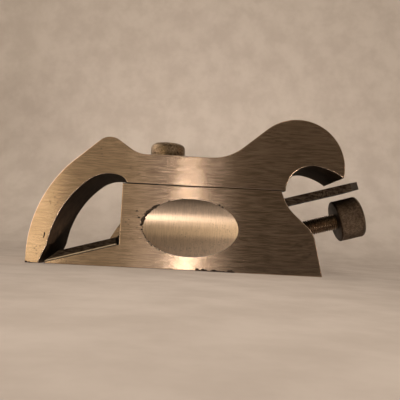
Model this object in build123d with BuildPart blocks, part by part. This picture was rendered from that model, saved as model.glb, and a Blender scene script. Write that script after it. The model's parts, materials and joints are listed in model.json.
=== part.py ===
from build123d import *
import os
from math import cos, radians, sin, tan

# Bullnose rabbet plane. Two nickel-plated castings hold a thin cutter at a low angle. The upper
# casting, the fore part, slides on the lower one to set the mouth and is locked by one screw.
# The cutter is clamped by a lever cap and fed by a screw with a knurled knob.
# Millimetres. The sole lies on z = 0, X runs from the toe (-X) to the heel (+X), and the origin
# is at the middle of the sole.

# ---------------------------------------------------------------- driving dimensions
sole_length = 101.6
width = 28.0
joint_z = 28.9            # where the two castings meet
deck_z = 39.3             # flat top of the fore part
edge_round = 0.35         # broken edges of the castings
running_gap = 0.05        # clearance of the sliding and turning fits

bed_angle = 16.0
bed_start_x = -45.45      # where the plane of the bed would meet the sole
bed_tip_x = -43.9         # the bed ends in a blunt edge
wall_x = -19.2            # front wall of the body, behind the throat
channel_width = 19.6      # slot between the cheeks for the cutter and the lever cap

cutter_thickness = 2.8
cutter_lift = 0.02
cutter_tip = 0.7          # distances along the bed, from the sole
cutter_shoulder = 26.6
cutter_tail = 114.7
shank_width = 19.0
cutter_bevel = 25.0

dish_length = 33.0
dish_height = 20.0
dish_depth = 2.2
dish_x, dish_z = 4.9, 14.5

lock_x = -5.0             # axis of the screw that locks the fore part
lock_diameter = 6.0
mouth_open, mouth_close = 3.0, 0.35
guide_xs = (-13.0, 1.5)
guide_diameter = 3.0

feed_depth = 9.5          # axis of the feed screw, below the bed
feed_diameter = 5.8
journal_diameter = 4.4
knob_front, knob_back, knob_diameter = 105.0, 114.2, 15.0
bush_front, bush_back, bush_diameter = 84.0, 91.0, 9.0
carrier_front, carrier_back = 72.0, 82.0
peg_s, peg_diameter = 77.0, 3.0

pivot_s, pivot_n, pivot_radius = 44.8, 9.3, 2.0
cap_screw_s = 72.0
cap_screw_diameter = 5.0

# ---------------------------------------------------------------- derived values
half_width = width / 2
toe_x, heel_x = -sole_length / 2, sole_length / 2
along_x, along_z = cos(radians(bed_angle)), sin(radians(bed_angle))


def bed_height(x):
    """Height of the bed above the sole at x."""
    return (x - bed_start_x) * tan(radians(bed_angle))


def bed_point(s, n):
    """Point in the middle plane, s along the bed from the sole and n above the bed."""
    return (bed_start_x + s * along_x - n * along_z, 0, s * along_z + n * along_x)


# Side view in bed coordinates: local x runs up the bed, local y stands off it.
bed_side = Plane(origin=bed_point(0, 0), x_dir=(along_x, 0, along_z), z_dir=(0, -1, 0))


def across_bed(s, n):
    """Plane square to the bed's slope, looking up it, with its origin at (s, n)."""
    return Plane(origin=bed_point(s, n), x_dir=(0, 1, 0), z_dir=(along_x, 0, along_z))


def above_bed(s, n):
    """Plane parallel to the bed with its origin at (s, n)."""
    return Plane(origin=bed_point(s, n), x_dir=(along_x, 0, along_z), z_dir=(-along_z, 0, along_x))


def on_bed(edge):
    """True for an edge that lies in the plane of the bed."""
    middle = edge.center()
    return abs(middle.Z - bed_height(middle.X)) < 0.1


def finish(piece, name):
    """Labels a piece and writes its STEP file."""
    piece.part.label = name
    export_step(piece.part, f"parts/{name}.step")


os.makedirs("parts", exist_ok=True)

# ---------------------------------------------------------------- body (lower casting)
rear_top_x = 35.7
dish_round = (dish_height**2 / 4 + dish_depth**2) / (2 * dish_depth)    # section across the dish
dish_sweep = (dish_length**2 / 4 + dish_depth**2) / (2 * dish_depth)    # section along the dish
bridge_front, bridge_back = -16.0, 5.0

with BuildPart() as body:
    with BuildSketch(Plane.XZ):
        with BuildLine():
            FilletPolyline(
                (rear_top_x, joint_z), (38.1, 23.2), (47.4, 14.85), (heel_x, 0), radius=(14, 8)
            )
            Polyline(
                (heel_x, 0), (bed_tip_x, 0), (bed_tip_x, bed_height(bed_tip_x)),
                (wall_x, bed_height(wall_x)), (wall_x, joint_z), (rear_top_x, joint_z),
            )
        make_face()
    extrude(amount=half_width, both=True)
    # channel between the cheeks, open at the top, the throat and the rear
    with BuildSketch(bed_side):
        with Locations((65, 20)):
            Rectangle(90, 40)
    extrude(amount=channel_width / 2, both=True, mode=Mode.SUBTRACT)
    # bridge across the channel, with the half-round rib that the lever cap rocks on
    with BuildSketch(Plane.XZ):
        with BuildLine():
            Polyline(
                (bridge_front, joint_z), (bridge_back, joint_z),
                (bridge_back, bed_height(bridge_back) + 9.9),
                (bridge_front, bed_height(bridge_front) + 9.9), close=True,
            )
        make_face()
    extrude(amount=channel_width / 2, both=True)
    with BuildSketch(bed_side):
        with Locations((pivot_s, pivot_n)):
            Circle(pivot_radius)
    extrude(amount=channel_width / 2, both=True)
    # oval dish in each side, an arc swept round an axis outside the casting
    for side in (-1, 1):
        dish_axis_y = side * (half_width - dish_depth + dish_round)
        with BuildSketch(Plane.XY.offset(dish_z)):
            with Locations((dish_x, side * (half_width - dish_depth + dish_sweep))):
                Circle(dish_sweep)
            with Locations((dish_x, dish_axis_y - side * dish_round)):
                Rectangle(dish_length * 2, dish_round * 2, mode=Mode.INTERSECT)
        revolve(axis=Axis((0, dish_axis_y, dish_z), (1, 0, 0)), mode=Mode.SUBTRACT)
    # slot under the bed for the feed carrier, and the bore for the bush behind it
    with BuildSketch(bed_side):
        with Locations(((68 + bush_front) / 2, -6.1)):
            Rectangle(bush_front - 68, 14.2)
    extrude(amount=3 + running_gap, both=True, mode=Mode.SUBTRACT)
    with BuildSketch(across_bed(bush_front - 1, -feed_depth)):
        Circle(bush_diameter / 2)
    extrude(amount=30, mode=Mode.SUBTRACT)
    # thread hole of the locking screw and the holes of the guide pins
    with BuildSketch(Plane.XY.offset(joint_z)):
        with Locations((lock_x, 0)):
            Circle(lock_diameter / 2 + running_gap)
    extrude(amount=-(joint_z - 20.5), mode=Mode.SUBTRACT)
    with BuildSketch(Plane.XY.offset(joint_z)):
        with Locations([(x, 0) for x in guide_xs]):
            Circle(guide_diameter / 2)
    extrude(amount=-3.6, mode=Mode.SUBTRACT)
    # broken edges all round both sides, but for the sharp ones along the bed
    for side in (0, -1):
        outline = body.faces().sort_by(Axis.Y)[side].outer_wire().edges()
        fillet(outline.filter_by(lambda edge: edge.length > 1 and not on_bed(edge)), radius=edge_round)
finish(body, "body")

# ---------------------------------------------------------------- fore part (upper casting)
land_x = -46.3            # rear edge of the nose's land, the front of the mouth
fore_base_z = joint_z + 0.03
hump_x, hump_z, hump_radius = 40.8, 37.45, 16.7
slot_x = lock_x + (mouth_open - mouth_close) / 2
slot_travel = mouth_open + mouth_close + 0.2


def on_hump(angle):
    """Point on the round hump at a polar angle in degrees."""
    return (hump_x + hump_radius * cos(radians(angle)), hump_z + hump_radius * sin(radians(angle)))


with BuildPart() as fore_part:
    with BuildSketch(Plane.XZ):
        with BuildLine():
            # nose, shoulder, deck and the rise to the hump
            Line((toe_x, 0), (toe_x, 2))
            ThreePointArc((toe_x, 2), (-46.84, 21.53), (-37.54, 34.9))
            FilletPolyline(
                (-37.54, 34.9), (-24.65, 46.2), (-14.43, deck_z), (17.1, deck_z), on_hump(128.5),
                radius=(5.5, 10, 17),
            )
            # hump, hook and the finger opening behind it
            ThreePointArc(on_hump(128.5), on_hump(60), on_hump(-9.6))
            Line(on_hump(-9.6), (56.95, 34.35))
            ThreePointArc((56.95, 34.35), (51.9, 36.95), (47.6, 38.05))
            ThreePointArc((47.6, 38.05), (40.0, 35.4), (37.2, fore_base_z))
            # joint face and the arch of the throat
            Line((37.2, fore_base_z), (-17.7, fore_base_z))
            ThreePointArc((-17.7, fore_base_z), (-18.5, 30.3), (-19.6, 31.1))
            ThreePointArc((-19.6, 31.1), (-24.5, 31.75), (-30.4, 29.6))
            ThreePointArc((-30.4, 29.6), (-38.6, 20.6), (-43.6, 6.6))
            Polyline((-43.6, 6.6), (land_x, 0), (toe_x, 0))
        make_face()
    extrude(amount=half_width, both=True)
    # hollow over the lever cap and its screw, open below and into the finger opening
    with BuildSketch(Plane.XZ):
        with BuildLine():
            FilletPolyline(
                (6.0, 20), (6.0, 34.6), (13.0, 35.8), (24.5, 40.2), (32, 40.2), (38.9, 34.0),
                (42, 31), (42, 20), radius=(1.5, 6, 4, 5, 0.5, 0.5),
            )
            Line((42, 20), (6.0, 20))
        make_face()
    extrude(amount=channel_width / 2, both=True, mode=Mode.SUBTRACT)
    # slot of the locking screw and the blind slots of the guide pins
    with BuildSketch(Plane.XY.offset(deck_z + 5)):
        with Locations((slot_x, 0)):
            SlotCenterToCenter(slot_travel, lock_diameter + 0.6)
    extrude(amount=-20, mode=Mode.SUBTRACT)
    with BuildSketch(Plane.XY.offset(fore_base_z)):
        with Locations([(x + (mouth_open - mouth_close) / 2, 0) for x in guide_xs]):
            SlotCenterToCenter(slot_travel, guide_diameter + 2 * running_gap)
    extrude(amount=3.6, mode=Mode.SUBTRACT)
    for side in (0, -1):
        fillet(fore_part.faces().sort_by(Axis.Y)[side].outer_wire().edges(), radius=edge_round)
finish(fore_part, "fore_part")

# ---------------------------------------------------------------- locking screw, washer, guides
washer_z = deck_z + 0.02
head_z = washer_z + 1.0
head_diameter = 12.6
head_height = 5.1

with BuildPart() as fore_part_screw:
    with BuildSketch(Plane.XY.offset(head_z)):
        with Locations((lock_x, 0)):
            Circle(head_diameter / 2)
    extrude(amount=head_height)
    fillet(fore_part_screw.faces().sort_by(Axis.Z)[-1].edges(), radius=1.8)
    with BuildSketch(Plane.XY.offset(head_z)):
        with Locations((lock_x, 0)):
            Circle(lock_diameter / 2)
    extrude(amount=-(head_z - 22.6))
    with BuildSketch(Plane.XY.offset(head_z + head_height)):
        with Locations((lock_x, 0)):
            Rectangle(head_diameter + 1, 1.6)
    extrude(amount=-2.2, mode=Mode.SUBTRACT)
finish(fore_part_screw, "fore_part_screw")

with BuildPart() as fore_part_washer:
    with BuildSketch(Plane.XY.offset(washer_z)):
        with Locations((lock_x, 0)):
            Circle(head_diameter / 2 + 0.1)
            Circle(lock_diameter / 2 + running_gap, mode=Mode.SUBTRACT)
    extrude(amount=1.0)
    fillet(fore_part_washer.edges().group_by(Axis.Z)[-1].sort_by(SortBy.RADIUS)[-1], radius=0.3)
finish(fore_part_washer, "fore_part_washer")

with BuildPart() as guide_pins:
    with BuildSketch(Plane.XY.offset(joint_z - 3.6)):
        with Locations([(x, 0) for x in guide_xs]):
            Circle(guide_diameter / 2)
    extrude(amount=6.8)
    chamfer(guide_pins.edges().group_by(Axis.Z)[-1], length=0.4)
finish(guide_pins, "guide_pins")

# ---------------------------------------------------------------- cutter
strip = 0.8               # ground strip along each side, under the relieved edge
relief = 1.0
cutter_top = cutter_lift + cutter_thickness

with BuildPart() as cutter:
    with BuildSketch(across_bed(cutter_tip, cutter_lift)):
        with BuildLine():
            Polyline(
                (-half_width, 0), (half_width, 0), (half_width, strip),
                (half_width - relief, cutter_thickness), (relief - half_width, cutter_thickness),
                (-half_width, strip), close=True,
            )
        make_face()
    extrude(amount=cutter_shoulder - cutter_tip)
    with BuildSketch(above_bed((cutter_shoulder + cutter_tail) / 2, cutter_lift)):
        Rectangle(cutter_tail - cutter_shoulder + 1, shank_width)
    extrude(amount=cutter_thickness)
    # tail: trimmed to length with clipped corners
    with BuildSketch(above_bed(cutter_tail + 5, 0)):
        Rectangle(10, width)
    extrude(amount=6, mode=Mode.SUBTRACT)
    tail_edges = cutter.edges().filter_by(Axis(bed_point(0, 0), (-along_z, 0, along_x)))
    chamfer(tail_edges.sort_by(Axis.X)[-2:], length=3.6)
    # honed bevel, and the slot that the feed peg works in
    with BuildSketch(bed_side):
        with BuildLine():
            Polyline(
                (cutter_tip, cutter_lift), (cutter_tip - 2, cutter_lift), (cutter_tip - 2, 8),
                (cutter_tip + 8 / tan(radians(cutter_bevel)), 8 + cutter_lift), close=True,
            )
        make_face()
    extrude(amount=width, both=True, mode=Mode.SUBTRACT)
    with BuildSketch(above_bed(peg_s, 0)):
        Rectangle(peg_diameter + 2 * running_gap, 9)
    extrude(amount=6, mode=Mode.SUBTRACT)
finish(cutter, "cutter")

# ---------------------------------------------------------------- lever cap, its screw and pad
cap_nose = 24.3
cap_seat = cutter_top + 0.05
cap_under, cap_over = 4.6, 8.3
cap_tail = 81.0
cap_width = 18.6
pad_diameter, pad_thickness = 7.5, 1.4

with BuildPart() as lever_cap:
    with BuildSketch(bed_side):
        with BuildLine():
            ThreePointArc((cap_nose + 2.2, cap_seat), (29.0, 4.1), (33.0, cap_under))
            Polyline((33.0, cap_under), (cap_tail, cap_under), (cap_tail, cap_over - 1))
            JernArc((cap_tail, cap_over - 1), (0, 1), 1, 90)
            Polyline((cap_tail - 1, cap_over), (29.6, cap_over), (cap_nose, cap_seat + 0.3),
                     (cap_nose, cap_seat), (cap_nose + 2.2, cap_seat))
        make_face()
    extrude(amount=cap_width / 2, both=True)
    # groove that seats on the bridge's rib
    with BuildSketch(bed_side):
        with Locations((pivot_s, pivot_n)):
            Circle(pivot_radius + running_gap)
    extrude(amount=cap_width, both=True, mode=Mode.SUBTRACT)
    # thread hole for the clamping screw, with room for its pad below
    with BuildSketch(above_bed(cap_screw_s, cap_under - 1)):
        Circle(cap_screw_diameter / 2 + running_gap)
    extrude(amount=8, mode=Mode.SUBTRACT)
    with BuildSketch(above_bed(cap_screw_s, cap_under - 1)):
        Circle(pad_diameter / 2 + 0.3)
    extrude(amount=2.1, mode=Mode.SUBTRACT)
    tail_edges = lever_cap.edges().filter_by(Axis(bed_point(0, 0), (-along_z, 0, along_x)))
    fillet(tail_edges.sort_by(Axis.X)[-2:], radius=3.0)
finish(lever_cap, "lever_cap")

screw_tip_n = cap_seat + 0.4
wheel_n, wheel_height, wheel_diameter = 12.0, 4.0, 13.0

with BuildPart() as lever_cap_screw:
    with BuildSketch(above_bed(cap_screw_s, screw_tip_n + running_gap)):
        Circle(1.5)
    extrude(amount=2)
    with BuildSketch(above_bed(cap_screw_s, cap_seat + pad_thickness + running_gap)):
        Circle(cap_screw_diameter / 2)
    extrude(amount=wheel_n - cap_seat - pad_thickness - running_gap)
    with BuildSketch(above_bed(cap_screw_s, wheel_n)):
        Circle(wheel_diameter / 2)
    extrude(amount=wheel_height)
    rims = lever_cap_screw.edges().filter_by(GeomType.CIRCLE)
    chamfer(rims.filter_by(lambda rim: rim.radius > wheel_diameter / 2 - 0.1), length=0.6)
finish(lever_cap_screw, "lever_cap_screw")

with BuildPart() as lever_cap_pad:
    with BuildSketch(above_bed(cap_screw_s, cap_seat)):
        Circle(pad_diameter / 2)
    extrude(amount=pad_thickness)
    with BuildSketch(above_bed(cap_screw_s, screw_tip_n)):
        Circle(1.5 + running_gap)
    extrude(amount=pad_thickness, mode=Mode.SUBTRACT)
finish(lever_cap_pad, "lever_cap_pad")

# ---------------------------------------------------------------- cutter feed
clip_front, clip_back = carrier_front - 1.0, carrier_front - 0.2
washer_front, washer_back = carrier_back + 0.05, carrier_back + 0.75
screw_front, screw_back = clip_front - 0.8, knob_front + 6.0
carrier_width, carrier_depth = 6.0, 13.0

with BuildPart() as adjuster_carrier:
    with BuildSketch(bed_side):
        with Locations(((carrier_front + carrier_back) / 2, -(carrier_depth + 0.1) / 2)):
            Rectangle(carrier_back - carrier_front, carrier_depth - 0.1)
    extrude(amount=carrier_width / 2, both=True)
    with BuildSketch(across_bed(carrier_front - 1, -feed_depth)):
        Circle(journal_diameter / 2 + running_gap)
    extrude(amount=carrier_back - carrier_front + 2, mode=Mode.SUBTRACT)
    with BuildSketch(above_bed(peg_s, 1)):
        Circle(peg_diameter / 2)
    extrude(amount=-6, mode=Mode.SUBTRACT)
finish(adjuster_carrier, "adjuster_carrier")

with BuildPart() as carrier_peg:
    with BuildSketch(above_bed(peg_s, -5)):
        Circle(peg_diameter / 2)
    extrude(amount=5 + cutter_thickness - 0.4)
    chamfer(carrier_peg.faces().sort_by(Axis.Z)[-1].edges(), length=0.3)
finish(carrier_peg, "carrier_peg")

with BuildPart() as adjuster_screw:
    with BuildSketch(across_bed(screw_front, -feed_depth)):
        Circle(journal_diameter / 2)
    extrude(amount=washer_back - screw_front)
    # groove that the clip snaps into
    with BuildSketch(across_bed(clip_front, -feed_depth)):
        Circle(journal_diameter)
        Circle(journal_diameter / 2 - 0.5, mode=Mode.SUBTRACT)
    extrude(amount=clip_back - clip_front, mode=Mode.SUBTRACT)
    with BuildSketch(across_bed(washer_back, -feed_depth)):
        Circle(feed_diameter / 2)
    extrude(amount=screw_back - washer_back)
finish(adjuster_screw, "adjuster_screw")

with BuildPart() as carrier_clip:
    with BuildSketch(across_bed(clip_front, -feed_depth)):
        Circle(journal_diameter / 2 + 0.7)
        Circle(journal_diameter / 2 - 0.5, mode=Mode.SUBTRACT)
        with Locations((0, 3)):
            Rectangle(1.8, 6, mode=Mode.SUBTRACT)
    extrude(amount=clip_back - clip_front)
finish(carrier_clip, "carrier_clip")

with BuildPart() as thrust_washer:
    with BuildSketch(across_bed(washer_front, -feed_depth)):
        Circle(2.9)
        Circle(journal_diameter / 2 + running_gap, mode=Mode.SUBTRACT)
    extrude(amount=washer_back - washer_front - 0.03)
finish(thrust_washer, "thrust_washer")

with BuildPart() as adjuster_bush:
    with BuildSketch(across_bed(bush_front, -feed_depth)):
        Circle(bush_diameter / 2)
        Circle(feed_diameter / 2 + running_gap, mode=Mode.SUBTRACT)
    extrude(amount=bush_back - bush_front)
    chamfer(adjuster_bush.faces().sort_by(Axis.X)[-1].outer_wire().edges(), length=0.4)
finish(adjuster_bush, "adjuster_bush")

with BuildPart() as adjuster_knob:
    with BuildSketch(across_bed(knob_front, -feed_depth)):
        Circle(knob_diameter / 2)
    extrude(amount=knob_back - knob_front)
    fillet(adjuster_knob.faces().sort_by(Axis.X)[-1].edges(), radius=1.0)
    chamfer(adjuster_knob.faces().sort_by(Axis.X)[0].edges(), length=0.6)
    with BuildSketch(across_bed(knob_front, -feed_depth)):
        Circle(feed_diameter / 2)
    extrude(amount=screw_back - knob_front, mode=Mode.SUBTRACT)
finish(adjuster_knob, "adjuster_knob")
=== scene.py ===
import json
import random
from math import cos, pi, radians, sin

import bmesh
import bpy
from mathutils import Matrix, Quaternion, Vector


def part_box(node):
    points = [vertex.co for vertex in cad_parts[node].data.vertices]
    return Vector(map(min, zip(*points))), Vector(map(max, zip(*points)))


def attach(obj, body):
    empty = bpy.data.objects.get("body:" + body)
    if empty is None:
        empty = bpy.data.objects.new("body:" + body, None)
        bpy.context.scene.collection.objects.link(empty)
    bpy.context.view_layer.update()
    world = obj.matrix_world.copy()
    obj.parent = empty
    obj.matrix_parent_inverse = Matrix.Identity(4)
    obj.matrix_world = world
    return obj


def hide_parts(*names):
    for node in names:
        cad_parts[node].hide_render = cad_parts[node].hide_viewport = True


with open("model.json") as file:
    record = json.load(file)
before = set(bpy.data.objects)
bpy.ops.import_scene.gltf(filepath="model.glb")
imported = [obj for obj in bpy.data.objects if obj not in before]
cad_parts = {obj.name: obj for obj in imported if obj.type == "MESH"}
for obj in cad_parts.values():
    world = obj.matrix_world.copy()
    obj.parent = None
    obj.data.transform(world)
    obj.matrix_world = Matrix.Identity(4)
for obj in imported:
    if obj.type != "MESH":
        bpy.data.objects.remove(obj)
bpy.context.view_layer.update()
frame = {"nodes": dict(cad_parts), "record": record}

# Looks of a small bullnose rabbet plane: brushed nickel castings with worn edges, a dark steel
# cutter and browned steel screws. Metres, in the frame of the CAD model: the sole is on z = 0,
# X runs from the toe to the heel, and the camera stands on the -Y side.

nodes = frame["nodes"]
MM = 0.001

# ---------------------------------------------------------------- sizes shared with the CAD model
HALF_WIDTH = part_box("body")[1].y
DISH_CENTRE = (4.9 * MM, 14.5 * MM)
DISH_LENGTH, DISH_HEIGHT = 33 * MM, 20 * MM
THROAT_CENTRE, THROAT_REACH = (-28 * MM, 0, 14 * MM), 26 * MM
HOOK_CENTRE, HOOK_REACH = (45 * MM, 0, 31 * MM), 13 * MM
JOINT_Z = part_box("body")[1].z
WALL_X = -19.2 * MM            # front wall of the body, behind the throat
BED_ANGLE = radians(16)
BED_START = -45.45 * MM        # where the plane of the bed meets the sole
BED_UP = Vector((cos(BED_ANGLE), 0, sin(BED_ANGLE)))
BED_NORMAL = Vector((-sin(BED_ANGLE), 0, cos(BED_ANGLE)))
# the feed screw and its knob: their axis below the bed and their ends along it, in millimetres
FEED_DEPTH = -9.5
SCREW_FRONT, SCREW_SHOULDER, SCREW_BACK = 70.2, 82.75, 111.0
KNOB_FRONT, KNOB_BACK = 105.0, 114.2
KNOB_RADIUS, JOURNAL_RADIUS, THREAD_RADIUS = 7.5 * MM, 2.2 * MM, 2.9 * MM
THREAD_PITCH = 0.8 * MM

# ---------------------------------------------------------------- colours
NICKEL_DULL, NICKEL_BRIGHT = (0.60, 0.455, 0.345, 1), (0.81, 0.63, 0.49, 1)
# the second colour below is a lighter nickel that paints a brighter reflection in the dishes
NICKEL_BLOTCH, DISH_PAINTED_SHEEN = (0.52, 0.38, 0.27, 1), (0.95, 0.78, 0.63, 1)
SPECK, PEPPER = (0.05, 0.035, 0.025, 1), (0.10, 0.07, 0.05, 1)
JOINT_DIRT = (0.02, 0.012, 0.008, 1)
# colours of bare brown casting, made dark enough to paint shade in the throat and the finger hook
RUST_AND_SHADE_DARK, RUST_AND_SHADE_LIGHT = (0.02, 0.012, 0.008, 1), (0.065, 0.042, 0.026, 1)
CUTTER_DARK, CUTTER_LIGHT = (0.03, 0.021, 0.015, 1), (0.115, 0.087, 0.065, 1)
# the second colour below is a light steel that paints a highlight low on the blade's sides
CUTTER_STAIN, PAINTED_SIDE_HIGHLIGHT = (0.028, 0.02, 0.015, 1), (0.46, 0.38, 0.30, 1)
# the second colour below paints shade on the cutter's underside, the lower edge of its sides and its tail
# end
STRUCK_MARK, CUTTER_PAINTED_SHADE = (0.015, 0.01, 0.008, 1), (0.012, 0.008, 0.006, 1)
BROKEN_DARK, BROKEN_LIGHT = (0.010, 0.007, 0.005, 1), (0.035, 0.024, 0.016, 1)
PAPER_DARK, PAPER_LIGHT = (0.48, 0.44, 0.41, 1), (0.56, 0.52, 0.49, 1)
ROOM_BACK, ROOM_LOW, ROOM_HIGH = (0.34, 0.28, 0.22, 1), (0.02, 0.015, 0.010, 1), (0.11, 0.083, 0.055, 1)
SEEN_PAPER = (0.45, 0.37, 0.29, 1)
WARM, GOLD = (1.0, 0.86, 0.73), (1.0, 0.80, 0.52)


# ---------------------------------------------------------------- node helpers
class Nodes:
    """A material's node tree with short calls to add and link nodes."""

    def __init__(self, name):
        self.material = bpy.data.materials.new(name)
        self.material.use_nodes = True
        self.tree = self.material.node_tree
        self.shader = self.tree.nodes["Principled BSDF"]

    def add(self, kind, settings=None, **inputs):
        """Adds a node, sets its properties, and sets or links its inputs."""
        node = self.tree.nodes.new(kind)
        for key, value in (settings or {}).items():
            setattr(node, key, value)
        for key, value in inputs.items():
            self.put(node.inputs[key.replace("_", " ")], value)
        return node

    def put(self, socket, value):
        """Links an output, or sets a plain value."""
        if isinstance(value, bpy.types.NodeSocket):
            self.tree.links.new(value, socket)
        else:
            socket.default_value = value

    def math(self, operation, a, b=0.0, c=0.0):
        node = self.tree.nodes.new("ShaderNodeMath")
        node.operation = operation
        for socket, value in zip(node.inputs, (a, b, c)):
            self.put(socket, value)
        return node.outputs[0]

    def vector(self, operation, a, b=(0, 0, 0)):
        node = self.tree.nodes.new("ShaderNodeVectorMath")
        node.operation = operation
        self.put(node.inputs[0], a)
        self.put(node.inputs[1], b)
        return node.outputs["Value" if operation in ("DOT_PRODUCT", "LENGTH") else "Vector"]

    def span(self, value, low, high, to_low=0.0, to_high=1.0):
        """Maps low..high to to_low..to_high, smoothly and clamped."""
        node = self.tree.nodes.new("ShaderNodeMapRange")
        node.interpolation_type = "SMOOTHSTEP"
        for socket, item in zip(node.inputs, (value, low, high, to_low, to_high)):
            self.put(socket, item)
        return node.outputs[0]

    def mix(self, share, a, b):
        """Mixes two colours."""
        node = self.tree.nodes.new("ShaderNodeMix")
        node.data_type = "RGBA"
        self.put(node.inputs[0], share)
        self.put(node.inputs[6], a)
        self.put(node.inputs[7], b)
        return node.outputs[2]

    def noise(self, place, scale, detail=3.0, roughness=0.5, stretch=(1, 1, 1)):
        """Noise over a place, with scale in features per metre along each axis."""
        spread = self.vector("MULTIPLY", place, tuple(scale * s for s in stretch))
        node = self.add("ShaderNodeTexNoise", Vector=spread, Scale=1.0, Detail=detail,
                        Roughness=roughness)
        return node.outputs["Fac"]

    def place(self):
        """The point on the surface, in metres, in the object's axes."""
        return self.tree.nodes.new("ShaderNodeTexCoord").outputs["Object"]

    def face_way(self):
        """The surface's own direction in the object's axes."""
        return self.tree.nodes.new("ShaderNodeTexCoord").outputs["Normal"]

    def bump(self, height, strength, distance):
        """Raises the surface by a height pattern."""
        node = self.add("ShaderNodeBump", Strength=strength, Distance=distance, Height=height)
        self.put(self.shader.inputs["Normal"], node.outputs["Normal"])

    def set(self, **inputs):
        """Sets or links the shader's own inputs."""
        for key, value in inputs.items():
            self.put(self.shader.inputs[key.replace("_", " ")], value)


# ---------------------------------------------------------------- materials
def dish_mask(n, x, y, z):
    """1 inside an oval dish, below the flat side. Also the place across and up the oval."""
    across = n.math("DIVIDE", n.math("SUBTRACT", x, DISH_CENTRE[0]), DISH_LENGTH / 2)
    up = n.math("DIVIDE", n.math("SUBTRACT", z, DISH_CENTRE[1]), DISH_HEIGHT / 2)
    oval = n.math("ADD", n.math("MULTIPLY", across, across), n.math("MULTIPLY", up, up))
    depth = n.math("SUBTRACT", HALF_WIDTH, n.math("ABSOLUTE", y))
    sunk = n.math("MULTIPLY", n.math("GREATER_THAN", depth, 0.03 * MM),
                  n.math("LESS_THAN", depth, 3 * MM))
    return n.math("MULTIPLY", n.math("LESS_THAN", oval, 1.05), sunk), across, up


def joint_mask(n, x, z):
    """1 along the joint between the castings, behind the throat."""
    off_joint = n.math("ABSOLUTE", n.math("SUBTRACT", z, JOINT_Z))
    line = n.span(off_joint, 0.13 * MM, 0.21 * MM, 1.0, 0.0)
    return n.math("MULTIPLY", line, n.math("GREATER_THAN", x, WALL_X - 0.5 * MM))


def bare_and_shade_mask(n, place):
    """1 where a face that isn't a side looks into the throat or into the finger hook, where bare casting
    gets painted shade.
    """
    face_way = n.face_way()
    sideways = n.math("ABSOLUTE", n.vector("DOT_PRODUCT", face_way, (0, 1, 0)))
    bare_in_shade = 0.0
    for centre, reach in ((THROAT_CENTRE, THROAT_REACH), (HOOK_CENTRE, HOOK_REACH)):
        inward = n.vector("MULTIPLY", n.vector("SUBTRACT", centre, place), (1, 0, 1))
        near = n.math("LESS_THAN", n.vector("LENGTH", inward), reach)
        facing = n.math("GREATER_THAN", n.vector("DOT_PRODUCT", inward, face_way), 0.0)
        bare_in_shade = n.math("MAXIMUM", bare_in_shade, n.math("MULTIPLY", near, facing))
    return n.math("MULTIPLY", bare_in_shade, n.math("LESS_THAN", sideways, 0.7))


def brushed_nickel():
    """Nickel plate, brushed lengthwise, and crosswise inside the oval dishes. The inner faces of
    the throat and of the finger hook are bare, brown casting, darkened further by painted shade."""
    n = Nodes("nickel_plate")
    place = n.place()
    x, y, z = n.add("ShaderNodeSeparateXYZ", Vector=place).outputs
    in_dish, across, up = dish_mask(n, x, y, z)
    # brushing and blotches
    lengthwise = n.noise(place, 1.0, 2, 0.5, (230, 900, 3900))
    crosswise = n.noise(place, 1.0, 2, 0.5, (3900, 900, 230))
    lines = n.add("ShaderNodeMix", A=lengthwise, B=crosswise, Factor=in_dish).outputs[0]
    colour = n.mix(n.span(lines, 0.34, 0.68), NICKEL_DULL, NICKEL_BRIGHT)
    blotches = n.noise(place, 160, 4, 0.55)
    colour = n.mix(n.span(blotches, 0.35, 0.75, 0.0, 0.25), colour, NICKEL_BLOTCH)
    # clustered specks
    specks = n.add("ShaderNodeTexVoronoi", {"feature": "F1"}, Vector=place, Scale=900.0)
    cluster = n.span(n.noise(place, 110, 2, 0.5), 0.52, 0.68)
    speck = n.math("MULTIPLY", n.span(specks.outputs["Distance"], 0.14, 0.26, 1.0, 0.0), cluster)
    colour = n.mix(n.math("MULTIPLY", speck, 0.7), colour, SPECK)
    # pepper of small dark pits inside the dishes, thicker towards their lower heel side
    pepper = n.span(n.noise(place, 2300, 2, 0.6), 0.56, 0.70)
    thicker = n.span(n.math("SUBTRACT", across, up), -0.6, 1.2, 0.25, 0.8)
    pepper = n.math("MULTIPLY", n.math("MULTIPLY", pepper, thicker), in_dish)
    colour = n.mix(pepper, colour, PEPPER)
    # dirt in the joint, and bare brown casting darkened by painted shade in the throat and hook
    colour = n.mix(n.math("MULTIPLY", joint_mask(n, x, z), 0.95), colour, JOINT_DIRT)
    bare_in_shade = bare_and_shade_mask(n, place)
    rust_and_shade = n.mix(n.span(n.noise(place, 420, 4, 0.6), 0.3, 0.7), RUST_AND_SHADE_DARK, RUST_AND_SHADE_LIGHT)
    colour = n.mix(bare_in_shade, colour, rust_and_shade)
    # a lighter colour in the dishes paints a brighter reflection there
    colour = n.mix(n.math("MULTIPLY", in_dish, 0.4), colour, DISH_PAINTED_SHEEN)
    rough = n.math("ADD", n.span(lines, 0.3, 0.7, 0.21, 0.25), n.math("MULTIPLY", in_dish, 0.15))
    rough = n.math("ADD", rough, n.math("MULTIPLY", bare_in_shade, 0.3))
    n.set(Base_Color=colour, Metallic=1.0, Roughness=rough, Anisotropic=1.0)
    # highlights spread across the brushing
    brush_way = n.add("ShaderNodeCombineXYZ", X=n.math("SUBTRACT", 1.0, in_dish), Z=in_dish)
    normal = n.tree.nodes.new("ShaderNodeNewGeometry").outputs["Normal"]
    n.set(Tangent=n.vector("CROSS_PRODUCT", normal, brush_way.outputs[0]))
    n.bump(n.math("SUBTRACT", lines, n.math("MULTIPLY", speck, 0.8)), 0.30, 0.03 * MM)
    return n.material


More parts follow.
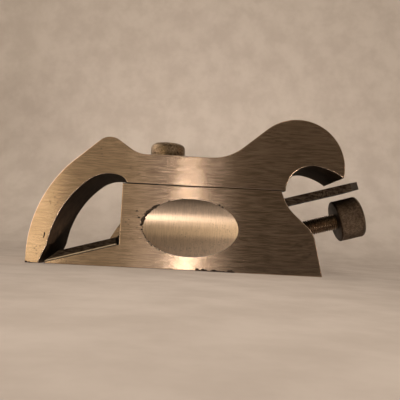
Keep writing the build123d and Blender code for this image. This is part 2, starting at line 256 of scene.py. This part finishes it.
def ground_steel():
    """Dark steel of the cutter with painted shade underneath, along its sides' lower edge and on its tail
    end, and a painted highlight in a strip low on its sides.
    """
    blade_end, struck_from, struck_to, tail_from = 27 * MM, 94 * MM, 109 * MM, 111 * MM
    n = Nodes("cutter_steel")
    place = n.place()
    from_bed = n.vector("SUBTRACT", place, (BED_START, 0, 0))
    above = n.vector("DOT_PRODUCT", from_bed, tuple(BED_NORMAL))
    along = n.vector("DOT_PRODUCT", from_bed, tuple(BED_UP))
    y = n.add("ShaderNodeSeparateXYZ", Vector=place).outputs["Y"]
    on_side = n.math("GREATER_THAN", n.math("ABSOLUTE", y), HALF_WIDTH - 0.05 * MM)
    # tool marks and stains
    marks = n.noise(place, 1.0, 4, 0.6, (500, 900, 2000))
    stains = n.noise(place, 260, 4, 0.6)
    colour = n.mix(n.span(marks, 0.35, 0.68), CUTTER_DARK, CUTTER_LIGHT)
    colour = n.mix(n.span(stains, 0.5, 0.7, 0.0, 0.6), colour, CUTTER_STAIN)
    # struck marks along the shank's side
    pecks = n.noise(place, 1.0, 3, 0.7, (1900, 1900, 700))
    struck = n.math("MULTIPLY", n.span(along, struck_from, struck_from + 4 * MM), n.span(pecks, 0.52, 0.60))
    struck = n.math("MULTIPLY", struck, n.span(along, struck_to - 2 * MM, struck_to, 1.0, 0.0))
    colour = n.mix(n.math("MULTIPLY", struck, 0.8), colour, STRUCK_MARK)
    # painted highlight in a strip on the blade's sides
    side_highlight = n.math("MULTIPLY", n.span(above, 0.28 * MM, 0.38 * MM),
                   n.span(above, 0.62 * MM, 0.74 * MM, 1.0, 0.0))
    side_highlight = n.math("MULTIPLY", side_highlight, n.math("MULTIPLY", on_side, n.math("LESS_THAN", along, blade_end)))
    colour = n.mix(side_highlight, colour, PAINTED_SIDE_HIGHLIGHT)
    # painted shade underneath, on the sides' lower edge and on the tail end
    underside = n.math("LESS_THAN", n.vector("DOT_PRODUCT", n.face_way(), tuple(BED_NORMAL)), -0.8)
    low_edge = n.math("MULTIPLY", on_side, n.math("LESS_THAN", above, 0.27 * MM))
    painted_shade = n.math("MAXIMUM", underside, low_edge)
    painted_shade = n.math("MAXIMUM", painted_shade, n.span(along, tail_from, tail_from + 0.4 * MM, 0.0, 0.7))
    colour = n.mix(painted_shade, colour, CUTTER_PAINTED_SHADE)
    rough = n.math("ADD", n.span(marks, 0.3, 0.7, 0.33, 0.44), n.span(stains, 0.4, 0.75, 0.0, 0.12))
    rough = n.math("ADD", rough, n.math("MULTIPLY", painted_shade, 0.45))
    n.set(Base_Color=colour, Metallic=n.math("SUBTRACT", 1.0, painted_shade), Roughness=rough)
    n.bump(n.math("SUBTRACT", n.math("ADD", marks, stains), struck), 0.4, 0.04 * MM)
    return n.material


def broken_iron():
    """Dark matt iron at the bottom of chips and dents."""
    n = Nodes("broken_iron")
    grain = n.noise(n.place(), 2500, 3, 0.6)
    colour = n.mix(n.span(grain, 0.3, 0.7), BROKEN_DARK, BROKEN_LIGHT)
    n.set(Base_Color=colour, Roughness=0.85)
    n.shader.inputs["Specular IOR Level"].default_value = 0.15
    n.bump(grain, 0.5, 0.05 * MM)
    return n.material


def steel(name, light, dark, rough, stretch):
    """Bare or browned steel with tool marks along one way and dark stains."""
    n = Nodes(name)
    place = n.place()
    marks = n.noise(place, 1.0, 4, 0.6, stretch)
    stains = n.noise(place, 260, 4, 0.6)
    colour = n.mix(n.span(marks, 0.35, 0.68), dark, light)
    stained = tuple(0.4 * channel for channel in dark[:3]) + (1,)
    colour = n.mix(n.span(stains, 0.45, 0.75, 0.0, 0.7), colour, stained)
    roughness = n.math("ADD", n.span(marks, 0.3, 0.7, rough - 0.06, rough + 0.06),
                       n.span(stains, 0.4, 0.75, 0.0, 0.15))
    n.set(Base_Color=colour, Metallic=1.0, Roughness=roughness)
    n.bump(n.math("ADD", marks, n.math("MULTIPLY", stains, 0.6)), 0.4, 0.04 * MM)
    return n.material


def paper(name):
    """Pale matt paper of the floor and backdrop, faintly mottled."""
    n = Nodes(name)
    place = n.place()
    mottle = n.noise(place, 60, 4, 0.6)
    colour = n.mix(n.span(mottle, 0.3, 0.7), PAPER_DARK, PAPER_LIGHT)
    n.set(Base_Color=colour, Roughness=0.9)
    n.shader.inputs["Specular IOR Level"].default_value = 0.1
    n.bump(n.noise(place, 900, 3, 0.6), 0.05, 0.2 * MM)
    return n.material


nickel = brushed_nickel()
cutter_steel = ground_steel()
bare_iron = broken_iron()
EVEN, FINE, LATHE = (1500, 1500, 1500), (1900, 1900, 3600), (1500, 600, 1500)     # grain per metre
screw_steel = steel("screw_steel", (0.38, 0.28, 0.20, 1), (0.18, 0.13, 0.09, 1), 0.40, EVEN)
# a darker copy of the knob's steel, which paints shade on the knob's front face
knob_front_shade = steel("knob_front_shade_steel", (0.10, 0.07, 0.05, 1), (0.04, 0.027, 0.02, 1), 0.5, EVEN)
bronzed = steel("bronzed_steel", (0.42, 0.31, 0.20, 1), (0.11, 0.082, 0.055, 1), 0.40, FINE)
knob_steel = steel("knob_steel", (0.20, 0.145, 0.105, 1), (0.10, 0.07, 0.05, 1), 0.42, EVEN)
brass = steel("bush_brass", (0.62, 0.44, 0.22, 1), (0.40, 0.27, 0.12, 1), 0.35, LATHE)

LOOKS = {
    "nickel_plate": nickel,
    "cutter_steel": cutter_steel,
    "screw_steel": screw_steel,
    "bush_brass": brass,
}
for subpart in frame["record"]["subparts"]:
    piece = nodes[subpart["node"]]
    for slot in piece.material_slots:
        slot.material = LOOKS[subpart["material_slot"]]


# ---------------------------------------------------------------- meshes
def bed_point(s, n):
    """Point in the middle plane, s along the bed and n above it, in millimetres."""
    return Vector((BED_START, 0, 0)) + BED_UP * (s * MM) + BED_NORMAL * (n * MM)


def new_piece(name, mesh, node, body, slot_name, crease=radians(32), outside=None, inside=None):
    """Turns a bmesh into a shaded piece that stands for a CAD node. Its first material is outside,
    or else the slot's own look, and faces with material index 1 get the one inside."""
    bmesh.ops.recalc_face_normals(mesh, faces=mesh.faces)
    for face in mesh.faces:
        face.smooth = True
    for edge in mesh.edges:
        edge.smooth = len(edge.link_faces) == 2 and edge.calc_face_angle(0) < crease
    data = bpy.data.meshes.new(name)
    mesh.to_mesh(data)
    mesh.free()
    piece = bpy.data.objects.new(name, data)
    bpy.context.scene.collection.objects.link(piece)
    data.materials.append(outside or LOOKS[slot_name])
    if inside:
        data.materials.append(inside)
    weighted = piece.modifiers.new("flat_faces_stay_flat", "WEIGHTED_NORMAL")
    weighted.keep_sharp = True
    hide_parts(node)
    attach(piece, body)


def turned(start, along, profile, segments, cut=None):
    """Closed mesh turned round an axis from start. profile lists (distance, radius) and begins and
    ends on the axis; cut(angle, distance) gives how much is taken off the radius there."""
    mesh = bmesh.new()
    across = BED_NORMAL if abs(along.dot(BED_NORMAL)) < 0.5 else BED_UP
    side = along.cross(across)
    rings = []
    for distance, radius in profile[1:-1]:
        ring = []
        for i in range(segments):
            angle = 2 * pi * i / segments
            reach = radius - (cut(angle, distance) if cut else 0)
            ring.append(mesh.verts.new(start + along * distance
                                       + (across * cos(angle) + side * sin(angle)) * reach))
        rings.append(ring)
    for low, high in zip(rings, rings[1:]):
        for i in range(segments):
            j = (i + 1) % segments
            mesh.faces.new((low[i], low[j], high[j], high[i]))
    for ring, distance in ((rings[0], profile[0][0]), (rings[-1], profile[-1][0])):
        tip = mesh.verts.new(start + along * distance)
        for i in range(segments):
            mesh.faces.new((ring[i], ring[(i + 1) % segments], tip))
    return mesh


def wave(turns):
    """Triangle wave from 0 to 1 and back over one turn."""
    return abs((turns % 1) * 2 - 1)


def spaced(first, last, step):
    """Even places from first to last, about a step apart."""
    count = max(1, round((last - first) / step))
    return [first + (last - first) * i / count for i in range(count + 1)]


def quarter(distance, radius, size, way, steps=5):
    """Points of a rounded rim: way 1 rounds towards the front end, -1 towards the back end."""
    points = []
    for i in range(steps + 1):
        turn = pi / 2 * i / steps
        points.append((distance + way * size * (1 - sin(turn)), radius - size * (1 - cos(turn))))
    return points if way > 0 else points[::-1]


def knurled_wheel(start, along, height, radius, teeth, front_round, back_round, hub=0.35):
    """Wheel with crossed knurling on its rim and end faces that are sunk round the axis."""
    band = (front_round * 1.1, height - back_round * 1.1)
    depth, run_out, sunk = 0.22 * MM, 0.25 * MM, 0.15 * MM

    def cut(angle, distance):
        if not band[0] <= distance <= band[1]:
            return 0
        edge = min(1, (distance - band[0]) / run_out, (band[1] - distance) / run_out)
        turns, lean = teeth * angle / (2 * pi), (distance - band[0]) / (1.1 * MM)
        return depth * edge * max(wave(turns + lean), wave(turns - lean))

    profile = [(0.12 * MM, 0), (0.12 * MM, radius * hub), (0.0, radius * hub + sunk)]
    profile += quarter(0, radius, front_round, 1)[::-1]
    profile += [(d, radius) for d in spaced(*band, 0.14 * MM)]
    profile += quarter(height, radius, back_round, -1)
    profile += [(height, radius * hub + 2 * sunk), (height - sunk, radius * hub), (height - sunk, 0)]
    return turned(start, along, profile, teeth * 6, cut)


def build_knob():
    """Knurled feed knob, with painted shade on its front face."""
    mesh = knurled_wheel(bed_point(KNOB_FRONT, FEED_DEPTH), BED_UP, (KNOB_BACK - KNOB_FRONT) * MM,
                         KNOB_RADIUS, teeth=60, front_round=0.6 * MM, back_round=1.0 * MM)
    shade_until = bed_point(KNOB_FRONT + 0.5, FEED_DEPTH).dot(BED_UP)
    # faces at the front get the darker steel, which paints shade there
    for face in mesh.faces:
        face.material_index = int(face.calc_center_median().dot(BED_UP) < shade_until)
    new_piece("feed_knob", mesh, "adjuster_knob", "feed_screw", "screw_steel",
              outside=knob_steel, inside=knob_front_shade)


def build_feed_screw():
    """Threaded rod: plain journal with a clip groove at the front, then a helical thread."""
    shoulder, length = (SCREW_SHOULDER - SCREW_FRONT) * MM, (SCREW_BACK - SCREW_FRONT) * MM
    bevel, groove, thread_depth = 0.2 * MM, 0.5 * MM, 0.42 * MM

    def cut(angle, distance):
        if distance < (SCREW_SHOULDER - SCREW_FRONT + 0.4) * MM:
            return 0
        return thread_depth * wave(distance / THREAD_PITCH - angle / (2 * pi))

    profile = [(0, 0), (0, JOURNAL_RADIUS - bevel), (bevel, JOURNAL_RADIUS), (0.8 * MM, JOURNAL_RADIUS),
               (0.8 * MM, JOURNAL_RADIUS - groove), (1.6 * MM, JOURNAL_RADIUS - groove),
               (1.6 * MM, JOURNAL_RADIUS), (shoulder, JOURNAL_RADIUS), (shoulder, THREAD_RADIUS)]
    first = (SCREW_SHOULDER - SCREW_FRONT + 0.2) * MM
    profile += [(distance, THREAD_RADIUS) for distance in spaced(first, length, 0.1 * MM)]
    profile += [(length, 0)]
    mesh = turned(bed_point(SCREW_FRONT, FEED_DEPTH), BED_UP, profile, 40, cut)
    new_piece("feed_screw", mesh, "adjuster_screw", "feed_screw", "screw_steel")


def chip(mesh, place, size, rng):
    """Adds a small jagged lump, which is later cut out of a piece."""
    turn = Quaternion((rng.uniform(-1, 1), rng.uniform(-1, 1), rng.uniform(-1, 1)), rng.uniform(0, 3))
    made = bmesh.ops.create_icosphere(mesh, subdivisions=2, radius=1.0)["verts"]
    for vert in made:
        lump = 1 + rng.uniform(-0.22, 0.22)
        point = vert.co * lump
        point = Vector((point.x * size[0], point.y * size[1], point.z * size[2]))
        vert.co = Vector(place) + turn.slerp(Quaternion(), 0.8) @ point


def carve(node, name, body, slot_name, lumps, outside=None):
    """Copies a CAD node with lumps cut out of it, and shows broken iron in the cuts."""
    solid = bmesh.new()
    solid.from_mesh(nodes[node].data)
    bmesh.ops.remove_doubles(solid, verts=solid.verts, dist=1e-7)
    data = bpy.data.meshes.new(name + "_solid")
    cut_data = bpy.data.meshes.new(name + "_lumps")
    for item in (data, cut_data):
        item.materials.append(LOOKS[slot_name])
        item.materials.append(bare_iron)
    solid.to_mesh(data)
    solid.free()
    for face in lumps.faces:
        face.material_index = 1
    lumps.to_mesh(cut_data)
    lumps.free()
    whole = bpy.data.objects.new(name + "_solid", data)
    cutter = bpy.data.objects.new(name + "_lumps", cut_data)
    for item in (whole, cutter):
        bpy.context.scene.collection.objects.link(item)
    modifier = whole.modifiers.new("chips", "BOOLEAN")
    modifier.object, modifier.operation, modifier.solver = cutter, "DIFFERENCE", "EXACT"
    modifier.use_self = True
    result = whole.evaluated_get(bpy.context.evaluated_depsgraph_get()).to_mesh()
    mesh = bmesh.new()
    mesh.from_mesh(result)
    for item in (whole, cutter):
        bpy.data.objects.remove(item)
    bmesh.ops.remove_doubles(mesh, verts=mesh.verts, dist=2e-7)
    new_piece(name, mesh, node, body, slot_name, radians(12), outside, bare_iron)


def build_body():
    """Lower casting with chips along the rim of the near dish and the edge of the sole."""
    rng = random.Random(7)
    lumps = bmesh.new()
    near = -HALF_WIDTH
    # first and last angle round the dish from its heel side, step, and width of a chip in millimetres
    rim_chips = ((133, 179, 3, 0.75), (184, 242, 4, 0.34), (118, 122, 4, 0.4), (101, 105, 4, 0.4),
                 (80, 84, 4, 0.4), (50, 60, 5, 0.42), (66, 68, 2, 0.25))
    for first, last, step, width in rim_chips:
        for angle in range(first, last, step):
            reach = 1 + rng.uniform(-0.005, 0.02)
            place = (DISH_CENTRE[0] + DISH_LENGTH / 2 * reach * cos(radians(angle)), near,
                     DISH_CENTRE[1] + DISH_HEIGHT / 2 * reach * sin(radians(angle)))
            size = width * rng.uniform(0.7, 1.3)
            chip(lumps, place, (size * 0.9 * MM, 0.35 * MM, size * 0.6 * MM), rng)
    # pits beside the dish: place and size in millimetres
    pits = ((-13.7, 19.4, 0.38), (-12.9, 17.2, 0.42), (-11.7, 17.0, 0.3), (-13.5, 17.9, 0.2))
    for x, z, size in pits:
        chip(lumps, (x * MM, near, z * MM), (size * MM, 0.25 * MM, size * 0.8 * MM), rng)
    # ragged stretch along the sole's near edge, in millimetres
    x, ragged_end = 8.0, 20.5
    while x < ragged_end:
        size = rng.uniform(0.35, 0.8)
        place = (x * MM, near, rng.uniform(-0.1, 0.5) * MM)
        chip(lumps, place, (size * 1.3 * MM, 0.35 * MM, size * 0.7 * MM), rng)
        x += size * 1.2
    carve("body", "body_casting", "casting", "nickel_plate", lumps)


def build_fore_part():
    """Upper casting with small dents at the toe and inside the nose."""
    rng = random.Random(11)
    lumps = bmesh.new()
    # place, length and height in millimetres
    dents = ((-50.4, 0.3, 0.7, 0.5), (-49.4, 0.1, 0.8, 0.45), (-48.4, 0.0, 0.5, 0.3),
             (-44.7, 10.0, 0.25, 0.8), (-44.9, 9.0, 0.2, 0.5))
    for x, z, length, height in dents:
        chip(lumps, (x * MM, -HALF_WIDTH, z * MM), (length * MM, 0.3 * MM, height * MM), rng)
    carve("fore_part", "fore_casting", "fore", "nickel_plate", lumps)


def build_lock_screw():
    """Screw on the deck, with nicks round its head."""
    rng = random.Random(5)
    lumps = bmesh.new()
    low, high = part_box("fore_part_screw")
    centre, radius = (low + high) / 2, (high.x - low.x) / 2
    for _ in range(26):
        angle = rng.uniform(0, 2 * pi)
        place = (centre.x + radius * 1.004 * cos(angle), centre.y + radius * 1.004 * sin(angle),
                 high.z - rng.uniform(1.2, 5.0) * MM)
        size = (rng.uniform(0.1, 0.25) * MM, rng.uniform(0.1, 0.25) * MM, rng.uniform(0.15, 0.6) * MM)
        chip(lumps, place, size, rng)
    carve("fore_part_screw", "lock_screw_worn", "lock_screw", "screw_steel", lumps, outside=bronzed)


build_knob()
build_feed_screw()
build_body()
build_fore_part()
build_lock_screw()


# ---------------------------------------------------------------- stage, camera and lights
def build_stage():
    """Floor and backdrop in one sweep, with a wide round cove between them."""
    front, back, wall_top, half_span, cove = -1.6, 0.22, 1.0, 1.8, 0.10
    profile = [(front, 0.0)]
    steps = 24
    for i in range(steps + 1):
        turn = pi / 2 * i / steps
        profile.append((back - cove + cove * sin(turn), cove - cove * cos(turn)))
    profile.append((back, wall_top))
    mesh = bmesh.new()
    rows = [[mesh.verts.new((side * half_span, y, z)) for side in (-1, 1)] for y, z in profile]
    for low, high in zip(rows, rows[1:]):
        mesh.faces.new((low[0], low[1], high[1], high[0])).smooth = True
    data = bpy.data.meshes.new("paper_sweep")
    mesh.to_mesh(data)
    mesh.free()
    sweep = bpy.data.objects.new("paper_sweep", data)
    bpy.context.scene.collection.objects.link(sweep)
    data.materials.append(paper("pale_paper"))
    sweep.visible_shadow = False
    sweep.visible_glossy = False


def build_camera():
    """Camera square to the plane's side and close to it, a little low and slightly tilted."""
    place, aim = Vector((6.7, -193, 11.2)) * MM, Vector((7.75, -14, 24.3)) * MM
    roll = radians(2.92)
    data = bpy.data.cameras.new("camera")
    data.sensor_width, data.lens = 36, 46.97
    camera = bpy.data.objects.new("camera", data)
    camera.rotation_mode = "QUATERNION"
    camera.location = place
    camera.rotation_quaternion = (aim - place).to_track_quat("-Z", "Y") @ Quaternion((0, 0, 1), roll)
    data.clip_start, data.clip_end = 0.005, 20
    bpy.context.scene.collection.objects.link(camera)
    bpy.context.scene.camera = camera


def add_light(name, place, aim, size, power, colour, on_metal=True, on_paper=True, spread=180):
    """Rectangular area light at a place, turned to an aim. It can leave out metal or matt paper."""
    data = bpy.data.lights.new(name, "AREA")
    data.shape = "RECTANGLE"
    data.size, data.size_y = size
    data.energy, data.color = power, colour
    data.spread = radians(spread)
    light = bpy.data.objects.new(name, data)
    light.location = place
    light.rotation_mode = "QUATERNION"
    light.rotation_quaternion = (Vector(aim) - Vector(place)).to_track_quat("-Z", "Y")
    light.visible_camera = False
    light.visible_glossy = on_metal
    light.visible_diffuse = on_paper
    bpy.context.scene.collection.objects.link(light)


def build_lights():
    """Soft lights in front of the plane, at its left, over the paper and overhead."""
    middle = (0.005, 0, 0.025)
    add_light("band", (-0.013, -1.0, -0.16), middle, (0.022, 0.32), 0.36, WARM)
    add_light("band_skirt", (-0.030, -1.0, -0.16), middle, (0.20, 0.32), 0.17, WARM)
    add_light("dish_glow", (0.64, -0.77, -0.20), middle, (0.16, 0.12), 1.7, WARM)
    add_light("dish_skirt", (0.62, -0.78, -0.26), middle, (0.16, 0.36), 0.8, WARM)
    add_light("left_panel", (-0.66, -1.0, 0.0), middle, (0.72, 0.56), 2.2, GOLD)
    add_light("shoulder_panel", (-0.205, -1.0, 0.15), middle, (0.20, 0.90), 0.14, GOLD)
    add_light("left_rim", (-1.0, 0.1, 0.45), middle, (1.5, 0.9), 9.0, WARM, on_paper=False)
    add_light("low_front", (0.05, -0.9, -0.55), middle, (0.8, 0.25), 0.25, WARM, on_paper=False)
    add_light("fill", (0.007, -0.20, 0.045), (0.007, 0.22, 0.045), (0.11, 0.08), 0.10, WARM,
              on_metal=False, spread=70)
    add_light("paper", (0.0, -0.9, 0.9), middle, (0.8, 0.8), 6.0, WARM, on_metal=False)
    add_light("overhead", (0.1, 0.1, 1.1), middle, (1.0, 1.0), 1.2, WARM)


def build_world():
    """Warm pale room, dim on the camera's side, and seen as pale paper beyond the sweep."""
    world = bpy.data.worlds.new("room")
    bpy.context.scene.world = world
    world.use_nodes = True
    tree = world.node_tree

    def add(kind, links=(), **settings):
        node = tree.nodes.new(kind)
        for key, value in settings.items():
            setattr(node, key, value)
        for index, source in links:
            if isinstance(source, bpy.types.NodeSocket):
                tree.links.new(source, node.inputs[index])
            else:
                node.inputs[index].default_value = source
        return node

    way = add("ShaderNodeTexCoord").outputs["Generated"]
    front = add("ShaderNodeVectorMath", [(0, way), (1, (0, -1, 0))], operation="DOT_PRODUCT")
    dim = add("ShaderNodeMapRange", [(0, front.outputs["Value"]), (1, 0.1), (2, 0.7)],
              interpolation_type="SMOOTHSTEP")
    height = add("ShaderNodeSeparateXYZ", [(0, way)]).outputs["Z"]
    lift = add("ShaderNodeMapRange", [(0, height), (1, -0.2), (2, 0.4)], interpolation_type="SMOOTHSTEP")
    shade = add("ShaderNodeMix", [(0, lift.outputs[0]), (6, ROOM_LOW), (7, ROOM_HIGH)],
                data_type="RGBA")
    colour = add("ShaderNodeMix", [(0, dim.outputs[0]), (6, ROOM_BACK), (7, shade.outputs[2])],
                 data_type="RGBA")
    room = add("ShaderNodeBackground", [(0, colour.outputs[2])])
    seen = add("ShaderNodeBackground", [(0, SEEN_PAPER)])
    ray = add("ShaderNodeLightPath").outputs["Is Camera Ray"]
    blend = add("ShaderNodeMixShader", [(0, ray), (1, room.outputs[0]), (2, seen.outputs[0])])
    tree.links.new(blend.outputs[0], tree.nodes["World Output"].inputs["Surface"])


build_stage()
build_camera()
build_lights()
build_world()
bpy.context.scene.view_settings.view_transform = "Standard"
